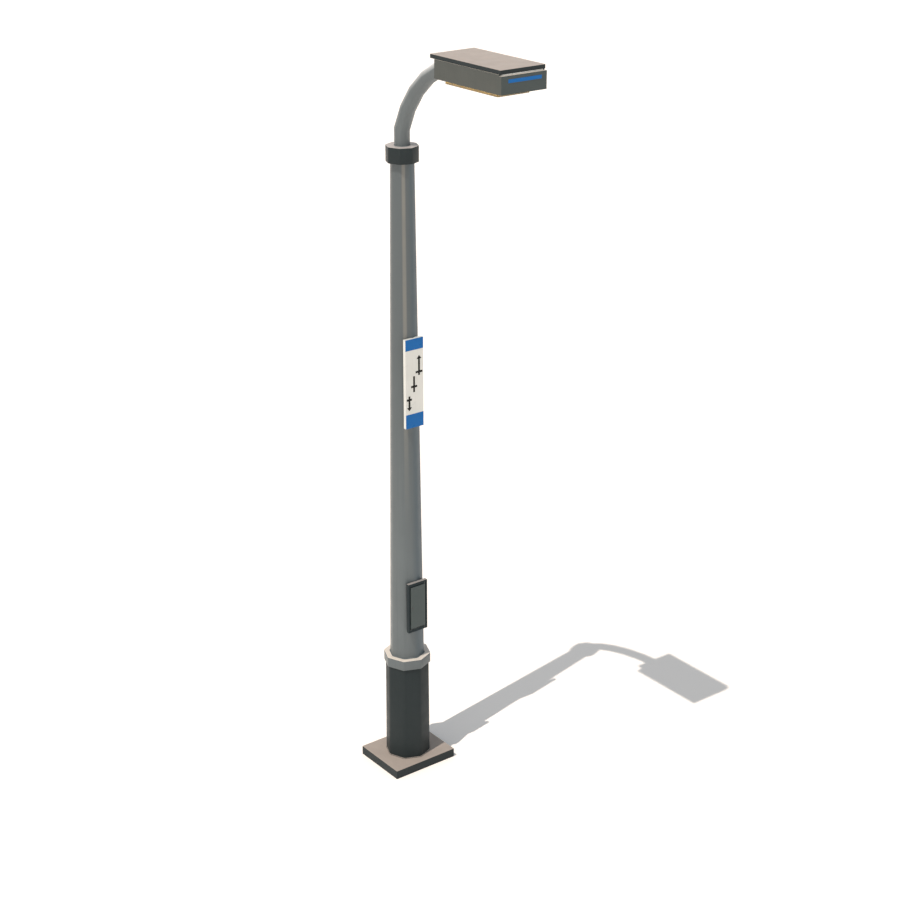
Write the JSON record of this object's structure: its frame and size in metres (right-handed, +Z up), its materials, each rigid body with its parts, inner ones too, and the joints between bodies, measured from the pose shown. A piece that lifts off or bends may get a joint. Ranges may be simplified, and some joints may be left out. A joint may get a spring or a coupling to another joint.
{
  "type": "street light",
  "caption": "Octagonal tapered street light column on a base plate, with a hinged access door, a flat sign and a bent arm carrying a slim LED head.",
  "frame": {"origin": "centre of the base plate's underside, on the column's axis", "axes": "+Z up the column, +X towards the LED head, the sign and the door, +Y to the left of someone looking along +X"},
  "size_m": [1.3786, 0.494, 4.9999],
  "materials": {
    "dark_paint": "dark grey powder coat, weathered pale on the faces that look up",
    "grey_paint": "satin grey powder coat over galvanised steel",
    "door_paint": "mid grey powder coat",
    "housing_paint": "satin warm grey die-cast paint",
    "bare_steel": "galvanised",
    "tray_metal": "plain sheet",
    "sign_white": "enamelled off-white",
    "sign_blue": "enamelled blue",
    "sign_black": "enamelled black",
    "seal_silicone": "matt off-white silicone",
    "seal_rubber": "matt black",
    "board_white": "solder mask white",
    "lens_amber": "amber moulded lens"
  },
  "bodies": {
    "column": {"base_plate": "dark_paint", "base_sleeve": "dark_paint", "sleeve_ring": "grey_paint", "shaft_foot": "grey_paint", "shaft_door_section": "grey_paint", "shaft_upper": "grey_paint", "top_collar": "dark_paint", "door_surround": "grey_paint", "door_frame": "dark_paint", "sign_panel": "sign_white", "sign_band_top": "sign_blue", "sign_band_foot": "sign_blue", "sign_mark_upper": "sign_black", "sign_mark_middle": "sign_black", "sign_mark_lower": "sign_black", "sign_saddle_upper": "bare_steel", "sign_saddle_lower": "bare_steel", "arm_tube": "grey_paint", "arm_tenon": "bare_steel", "housing": "housing_paint", "lid": "dark_paint", "lid_seal": "seal_silicone", "gear_tray": "tray_metal", "led_board": "board_white", "lens_gasket": "seal_rubber", "lens": "lens_amber", "front_strip": "sign_blue"},
    "door": {"door_leaf": "door_paint", "door_hinge_pins": "bare_steel", "door_lock": "bare_steel"}
  },
  "joints": [
    {"name": "door_hinge", "type": "hinge", "parent": "column", "child": "door", "pos_m": [0.12952, 0.0545, 1.227], "axis": [0, 0, 1], "range_deg": [0, 110]}
  ]
}
